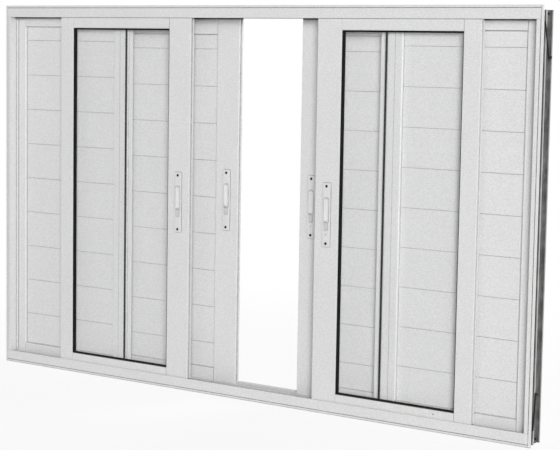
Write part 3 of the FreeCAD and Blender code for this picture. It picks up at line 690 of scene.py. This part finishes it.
# %% Corner screws
low, high = low_high("corner_screws")
CORNER_SCREW = {"head": 3.9, "high": 2.2, "shank": 1.9, "long": 22.0}
CORNER_DEPTHS = (-25.0, -6.0, 25.0)
corner = []
for side in (-1, 1):
    seat = side * (high[0] - CORNER_SCREW["high"])
    for deep in CORNER_DEPTHS:
        for tall in (low[2] + CORNER_SCREW["head"], high[2] - CORNER_SCREW["head"]):
            loops = turned_screw(**CORNER_SCREW, turn=0.02 * deep + tall)
            corner.append(np.stack([seat + side * loops[..., 2], deep + loops[..., 0],
                                    tall + loops[..., 1]], axis=-1))
finish_piece(skin_of_loops("frame_screws", corner), "dark_screws", "corner_screws")

# %% [markdown]
# ## Glazing rubber
# A U of black rubber grips the pane. Its front lip is rounded and presses on the glass, and a
# thin fin lines the reveal up to the leaf's face, which is the black frame that the eye sees
# round each pane. It is one section carried round four mitred corners, so the same loop of
# points is placed at each corner, pushed inwards along both sides at once.

# %% Glazing rubber
PANE_BITE = 7.5   # how far the rubber reaches outwards past the edge of the opening
SECTION = rounded_corners([   # inwards from that edge, depth and corner radius
    (0.15, -34.4, 0.5), (1.35, -34.4, 0.5), (1.5, -29.2, 0.8), (3.4, -29.0, 1.2),
    (5.0, -27.4, 1.0), (5.0, -26.05, 0.3), (-6.05, -26.05, 0.3), (-6.05, -21.95, 0.3),
    (5.0, -21.95, 0.3), (4.6, -20.4, 0.8), (3.0, -20.0, 0.6), (-7.5, -20.0, 0.6),
    (-7.5, -28.0, 0.6), (0.15, -28.0, 0.3)], steps=5)
for side in ("left", "right"):
    low, high = low_high(side + "_gasket")
    inward, deep = SECTION[:, 0] + PANE_BITE, SECTION[:, 1]
    loops = [np.stack([x + sx * inward, deep, z + sz * inward], axis=-1)
             for x, sx, z, sz in ((low[0], 1, low[2], 1), (high[0], -1, low[2], 1),
                                  (high[0], -1, high[2], -1), (low[0], 1, high[2], -1))]
    piece = skin_of_loops(side + "_glazing_rubber", [loops], ring=True)
    finish_piece(piece, "black_rubber", side + "_gasket")

# %% [markdown]
# ## Brush seals
# Pile is sewn into a woven strip in close tufts. A plain bar looks like plastic, and thousands
# of hairs would be a heavy mesh for a line this thin. A loop with a fanned tip, which swells
# and narrows from tuft to tuft and ends at slightly uneven lengths, looks right from a hand
# away.

# %% Brush seals
low, high = low_high("brush_seals")
rng = np.random.default_rng(7)
TUFT, STRIP_HALF, STRIP_THICK = 2.2, 1.8, 1.5
tall = np.arange(low[2], high[2], TUFT / 4)
base = np.array([(-1.8, 0.0), (-1.8, 1.0), (-1.5, 1.1), (-1.9, 3.0), (-2.9, 6.2), (-1.8, 6.85),
                 (1.8, 6.85), (2.9, 6.2), (1.9, 3.0), (1.5, 1.1), (1.8, 1.0), (1.8, 0.0)])
is_pile = (base[:, 1] > STRIP_THICK).astype(float)
swell = 1 + 0.13 * np.cos(2 * np.pi * tall / TUFT) + 0.05 * rng.standard_normal(len(tall))
reach = 1 - 0.05 * abs(rng.standard_normal(len(tall))).clip(0, 2)
across_rows = base[None, :, 0] * (1 + is_pile * (swell[:, None] - 1))
up_rows = base[None, :, 1] * (1 + is_pile * (reach[:, None] - 1))
brushes = []
for side in (-1, 1):
    centre = side * (high[0] - STRIP_HALF)
    brushes.append(np.stack([centre + across_rows, high[1] - up_rows,
                             np.repeat(tall[:, None], len(base), axis=1)], axis=-1))
finish_piece(skin_of_loops("pile_seals", brushes, crease=80), "black_pile", "brush_seals")

# %% [markdown]
# ## Anchor straps
# Near each corner a folded steel strap is riveted to the jamb. On site it is bent out and set
# in mortar; until then it lies flat, slanting over the channels, with its free end curled up.
# Nobody lines them up, so the upper ones lean more than the lower ones. The strap is a flat
# loop with round edges, carried along a line that ends in three quarters of a turn. Each point
# of the line knows its own direction, so the loop stays square to it.

# %% Straps
STRAP_HALF_THICK, STRAP_HALF_WIDE, STRAP_ROUND = 0.75, 4.0, 0.6
STRAP_LONG, CURL = 101.0, 3.25
JAMB_FACE, BODY_TOP = 988.0, 1188.0   # the jamb's outer face, and where the frame's body ends
STRAP_FEET = {"foot": (-4.5, 41.0), "top": (-8.0, 31.0)}   # depth, and height from that end
STRAP_LEAN = {"foot": 0.084, "top": 0.296}                 # radians
way = np.linspace(0, 1, 24)
bend = np.pi * (1 - 1.5 * np.linspace(0, 1, 40)[1:])   # three quarters of a turn
line_out = np.concatenate([STRAP_HALF_THICK + 0.12 * np.sin(9 * way) ** 2,
                           STRAP_HALF_THICK + CURL + CURL * np.cos(bend)])
line_up = np.concatenate([way * STRAP_LONG, STRAP_LONG + CURL * np.sin(bend)])
step = np.gradient(np.stack([line_out, line_up], axis=-1), axis=0)
step /= np.linalg.norm(step, axis=1, keepdims=True)
flat_loop = rounded_box(STRAP_HALF_THICK, -STRAP_HALF_WIDE, STRAP_HALF_WIDE,
                        (STRAP_ROUND, STRAP_ROUND), steps=4)
out = line_out[:, None] + step[:, 1:] * flat_loop[None, :, 0]
up = line_up[:, None] - step[:, :1] * flat_loop[None, :, 0]
wide = np.repeat(flat_loop[None, :, 1], len(line_up), axis=0)


def on_jamb(out, wide, up, side, end):
    """Places a strap's points on a jamb.

    They are turned by the strap's lean in the plane of the jamb's face and moved to the
    strap's foot, and mirrored to the left side, and from the foot of the frame to its top."""
    lean = STRAP_LEAN[end]
    y = STRAP_FEET[end][0] + wide * math.cos(lean) + up * math.sin(lean)
    z = STRAP_FEET[end][1] - wide * math.sin(lean) + up * math.cos(lean)
    if end == "top":
        z = BODY_TOP - z
    return np.stack([side * (JAMB_FACE + out), y, z], axis=-1)


PLACES = [(side, end) for side in (-1, 1) for end in ("foot", "top")]
straps = [on_jamb(out, wide, up, *place) for place in PLACES]
finish_piece(skin_of_loops("anchor_straps", straps), "anchor_steel", "wall_anchors")

# %% [markdown]
# ## Rivets
# One rivet near its foot holds each strap. Only the low dome of its head shows, a quarter of
# an ellipse turned about its axis, and a short shank goes down through the strap.

# %% Rivets
RIVET_UP, RIVET_HEAD, RIVET_HIGH, RIVET_SHANK = 27.0, 2.6, 1.3, 1.5
turn = np.linspace(0, 2 * np.pi, 32, endpoint=False)
dome = np.linspace(0.02, 0.5, 9) * np.pi
rivet_radius = np.concatenate([RIVET_HEAD * np.sin(dome),
                               [RIVET_HEAD, RIVET_SHANK, RIVET_SHANK]])[:, None]
rivet_out = np.concatenate([2 * STRAP_HALF_THICK + RIVET_HIGH * np.cos(dome),
                            [1.45, 1.4, 0.1]])[:, None]
rivets = [on_jamb(np.repeat(rivet_out, len(turn), axis=1), rivet_radius * np.cos(turn),
                  RIVET_UP + rivet_radius * np.sin(turn), *place) for place in PLACES]
finish_piece(skin_of_loops("strap_rivets", rivets), "anchor_steel")

# %% [markdown]
# ## Pull plates
# Each sliding leaf is moved by a white moulded plate with a finger cup. The plain solid has
# hard corners and square cup walls, and a moulding has neither: its rim is rounded, and the
# walls of its cup slope so that it leaves the mould, round into its back and have a fine
# shadow groove round its mouth. The plate is one skin, from the back of the cup out to the
# rim, round it, and back down into the cup. Every row of it is an outline measured from the
# middle of the cup, so that its points lie in the same directions as those of the next row.
# The slider's bed and the bore of the release pin are then cut by a Boolean modifier, whose
# result becomes the mesh.

# %% Outlines seen from the cup
CUP_MIDDLE = 14.5   # above the plate's middle


def outline_reach(half, low, high, radii, angles):
    """How far an outline lies from the cup's middle in each direction.

    The outline is a box with rounded corners. It is cut into many short steps, and each
    step's angle and distance give the distance at any angle between them."""
    loop = rounded_box(half, low, high, radii, steps=24) - (0, CUP_MIDDLE)
    ends = np.roll(loop, -1, axis=0)
    steps = (loop[:, None] + (ends - loop)[:, None] * np.linspace(0, 1, 40)[None, :, None])
    steps = steps.reshape(-1, 2)
    turn = np.arctan2(steps[:, 1], steps[:, 0])
    order = np.argsort(turn)
    return np.interp(angles, turn[order], np.hypot(*steps[order].T), period=2 * np.pi)


def corner_angles(half, low, high, radii, steps):
    """The directions of an outline's corner points, as the cup's middle sees them."""
    loop = rounded_box(half, low, high, radii, steps) - (0, CUP_MIDDLE)
    return np.arctan2(loop[:, 1], loop[:, 0])


# half width, foot, top, and the corner radii of foot and top, from the plate's middle
PLATE_SHAPE = (14.0, -94.0, 94.0, (3.0, 3.0))
CUP_SHAPE = (8.5, -21.0, 50.0, (1.5, 8.0))
directions = np.unique(np.round(np.concatenate([
    corner_angles(*PLATE_SHAPE, 6), corner_angles(*CUP_SHAPE, 14),
    np.linspace(-np.pi, np.pi, 40, endpoint=False)]), 4))


def grown(shape, by):
    """An outline moved outwards by some millimetres, all round."""
    half, low, high, radii = shape
    return half + by, low - by, high + by, tuple(max(r + by, 0.2) for r in radii)


# %% Pull plates
quarter = np.linspace(0, np.pi / 2, 5)
# Each row is an outline, how far outside it the skin runs, and how deep behind the face:
# the cup's back and outer wall, the plate's back and side,
ROWS = [(CUP_SHAPE, -1.2, 9.0), (CUP_SHAPE, 0.9, 8.0), (CUP_SHAPE, 0.9, 3.0),
        (PLATE_SHAPE, 0.0, 3.0), (PLATE_SHAPE, 0.0, 1.4)]
# the rounded rim,
ROWS += [(PLATE_SHAPE, -1.0 + math.cos(a), 1.0 - math.sin(a)) for a in quarter]
# the groove round the cup's mouth,
ROWS += [(CUP_SHAPE, 1.8, 0.0), (CUP_SHAPE, 1.65, 0.5), (CUP_SHAPE, 0.95, 0.5),
         (CUP_SHAPE, 0.8, 0.0)]
# the rounded mouth, and the cup's wall and its inside back
ROWS += [(CUP_SHAPE, 0.5 * (1 - math.sin(a)), 0.5 * (1 - math.cos(a))) for a in quarter]
ROWS += [(CUP_SHAPE, -1.0, 4.4), (CUP_SHAPE, -1.35, 5.6), (CUP_SHAPE, -2.1, 6.45),
         (CUP_SHAPE, -3.2, 6.9), (CUP_SHAPE, -4.4, 7.0)]
BED_HALF, BED_FOOT, BED_TOP, BED_DEEP = 6.3, -45.8, -23.2, 1.2
KEY_PLACE, KEY_RADIUS, KEY_DEEP = -58, 1.8, 4


def box_piece(low, high):
    """A plain box between two corners in millimetres, to cut with."""
    corners = np.array([[(low[0], y, low[2]), (high[0], y, low[2]), (high[0], y, high[2]),
                         (low[0], y, high[2])] for y in (low[1], high[1])])
    return skin_of_loops("cutter", [corners])


def rod_piece(x, z, radius, y0, y1):
    """A rod along the depth, to cut with."""
    turn = np.linspace(0, 2 * np.pi, 24, endpoint=False)
    circle = np.stack([x + radius * np.cos(turn), 0 * turn, z + radius * np.sin(turn)],
                      axis=-1)
    return skin_of_loops("cutter", [[circle + (0, y0, 0), circle + (0, y1, 0)]])


def cut_away(piece, cutters):
    """Cuts each cutter out of a piece, keeps the result as its mesh and drops the cutters."""
    for cutter in cutters:
        cut = piece.modifiers.new("cut", "BOOLEAN")
        cut.operation, cut.solver, cut.object = "DIFFERENCE", "EXACT", cutter
    result = piece.evaluated_get(bpy.context.evaluated_depsgraph_get())
    mesh = bpy.data.meshes.new_from_object(result)
    piece.modifiers.clear()
    piece.data = mesh
    mesh.set_sharp_from_angle(angle=math.radians(SHARP))
    for cutter in cutters:
        bpy.data.objects.remove(cutter)


for plate in PLATES:
    low, high = low_high(plate)
    centre = (low + high) / 2
    loops = []
    for shape, by, deep in ROWS:
        far = outline_reach(*grown(shape, by), directions)
        loops.append(np.stack([centre[0] + far * np.cos(directions),
                               np.full(len(directions), low[1] + deep),
                               centre[2] + CUP_MIDDLE + far * np.sin(directions)], axis=-1))
    piece = skin_of_loops("moulded_" + plate, [loops])
    bed_low = (centre[0] - BED_HALF, low[1] - 1, centre[2] + BED_FOOT)
    bed_high = (centre[0] + BED_HALF, low[1] + BED_DEEP, centre[2] + BED_TOP)
    cutters = [box_piece(bed_low, bed_high)]
    if plate.startswith("right"):
        cutters.append(rod_piece(centre[0], centre[2] + KEY_PLACE, KEY_RADIUS,
                                 low[1] - 1, low[1] + KEY_DEEP))
    cut_away(piece, cutters)
    finish_piece(piece, "white_plastic", plate)

# %% [markdown]
# ## Latch sliders
# Under each cup a small thumb slider works the latch. It is a block with grip grooves, drawn
# from the side and carried across. Its first and last loops are drawn in a little, and that
# rounds the block's ends.

# %% Sliders
SLIDE_HALF, SLIDE_TALL, SLIDE_MIDDLE, SLIDE_BACK = 6.0, 22.0, -34.5, -1.15
grip = np.linspace(-1, 1, 90)
bow = 1 - abs(grip) ** 14
ridges = 0.5 * smooth_step(0.25, 0.8, np.cos(grip * np.pi * 5)) * (abs(grip) < 0.82)
face_out = 0.25 + 0.95 * bow - ridges * 0.9   # high in the middle, low at ends and grooves
profile_up = np.concatenate([grip, [1.0, -1.0]]) * SLIDE_TALL / 2
profile_out = np.concatenate([face_out, [SLIDE_BACK, SLIDE_BACK]])
stations = SLIDE_HALF * np.sin(np.linspace(-0.5, 0.5, 15) * np.pi)
drawn_in = 0.45 * (1 - np.sqrt(1 - (stations / SLIDE_HALF * 0.995) ** 6))
sliders = []
for plate in PLATES:
    low, high = low_high(plate)
    centre = (low + high) / 2
    up = profile_up[None] * (1 - drawn_in[:, None] / (SLIDE_TALL / 2))
    out = np.where(profile_out[None] > 0, profile_out[None] - drawn_in[:, None],
                   profile_out[None])
    sliders.append(np.stack([centre[0] + np.repeat(stations[:, None], len(profile_up), axis=1),
                             low[1] - out, centre[2] + SLIDE_MIDDLE + up], axis=-1))
piece = skin_of_loops("thumb_sliders", sliders, crease=50)
finish_piece(piece, "grey_plastic", "latch_sliders")

# %% [markdown]
# ## Floor and background
# The studio is a pale floor under a white background. A camera ray that misses the window sees
# plain white, and so do rays that come off or through it; every other ray sees a softer sky.
# Close to the window the floor keeps a tenth of its own light, and that is where its shadow
# shows.

# %% Floor and background
SKY = 0.13
world = bpy.data.worlds.new("studio")
bpy.context.scene.world = world
world.use_nodes = True
sky = world.node_tree
background = sky.nodes["Background"]


def plain_view(tree):
    """One for a ray that the camera sees straight, mirrored or through glass, else zero."""
    rays = add(tree, "ShaderNodeLightPath")
    seen = maths(tree, "MAXIMUM", rays.outputs["Is Camera Ray"], rays.outputs["Is Glossy Ray"])
    seen = maths(tree, "MAXIMUM", seen, rays.outputs["Is Transmission Ray"])
    unscattered = maths(tree, "LESS_THAN", rays.outputs["Diffuse Depth"], 0.5)
    return product(tree, seen, unscattered)


seen = plain_view(sky)
background.inputs["Color"].default_value = (1, 1, 1, 1)
sky.links.new(spread(sky, seen, 0.0, 1.0, SKY, 1.0), background.inputs["Strength"])

floor_mesh = bpy.data.meshes.new("studio_floor")
REACH = 30.0            # metres from the middle of the floor to its sides
FADE = (0.9, 2.6)       # metres from the window, over which the floor turns to plain white
corners = [(-REACH, -REACH, 0), (REACH, -REACH, 0), (REACH, REACH, 0), (-REACH, REACH, 0)]
floor_mesh.from_pydata(corners, [], [(0, 1, 2, 3)])
floor = bpy.data.objects.new("studio_floor", floor_mesh)
bpy.context.scene.collection.objects.link(floor)
floor_paint, tree, shader, place = new_material("studio_floor")
shader.inputs["Base Color"].default_value = (0.86, 0.86, 0.86, 1)
shader.inputs["Roughness"].default_value = 0.9
glow = add(tree, "ShaderNodeEmission", {"Color": (1, 1, 1, 1), "Strength": 1.0})
seen = plain_view(tree)
far = add(tree, "ShaderNodeVectorMath", {0: place}, operation="LENGTH").outputs["Value"]
share = product(tree, seen, spread(tree, far, *FADE, 0.9, 1.0))
blend = add(tree, "ShaderNodeMixShader", {0: share, 1: shader.outputs[0], 2: glow.outputs[0]})
tree.links.new(blend.outputs[0], tree.nodes["Material Output"].inputs["Surface"])
floor_mesh.materials.append(floor_paint)
floor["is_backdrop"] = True
print("floor", 2 * REACH, "m wide, sky", SKY)


# %% [markdown]
# ## Lights
# Big soft boxes light the window. The two that matter stand far off on the camera's side, one
# low and one high, so that the shadows that the leaves throw on each other fall behind them,
# where the camera doesn't see them. A weak one fills in from the left, and it is kept out of
# the panes' reflections. The last one lights the back of the window.

# %% Lights
def area_lamp(name, place, aim, size, watts):
    """A square soft box that stands at place and looks at aim."""
    data = bpy.data.lights.new(name, "AREA")
    data.shape = "SQUARE"
    data.size = size
    data.energy = watts
    lamp = bpy.data.objects.new(name, data)
    bpy.context.scene.collection.objects.link(lamp)
    lamp.location = place
    lamp.rotation_euler = (Vector(aim) - Vector(place)).to_track_quat("-Z", "Y").to_euler()
    return lamp


WINDOW_CENTRE = (0, 0, 0.6)
area_lamp("key", (18.5, -21.5, 5.6), WINDOW_CENTRE, 9.0, 5400)
area_lamp("front", (12.6, -18.0, 9.4), WINDOW_CENTRE, 8.0, 1050)
area_lamp("fill", (-3.0, -6.0, 2.4), WINDOW_CENTRE, 4.0, 12).visible_glossy = False
area_lamp("back", (1.5, 4.5, 3.0), WINDOW_CENTRE, 3.0, 190)

bpy.context.scene.view_settings.view_transform = "Standard"
print("lights", sorted(lamp.name for lamp in bpy.data.lights))

low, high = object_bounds()
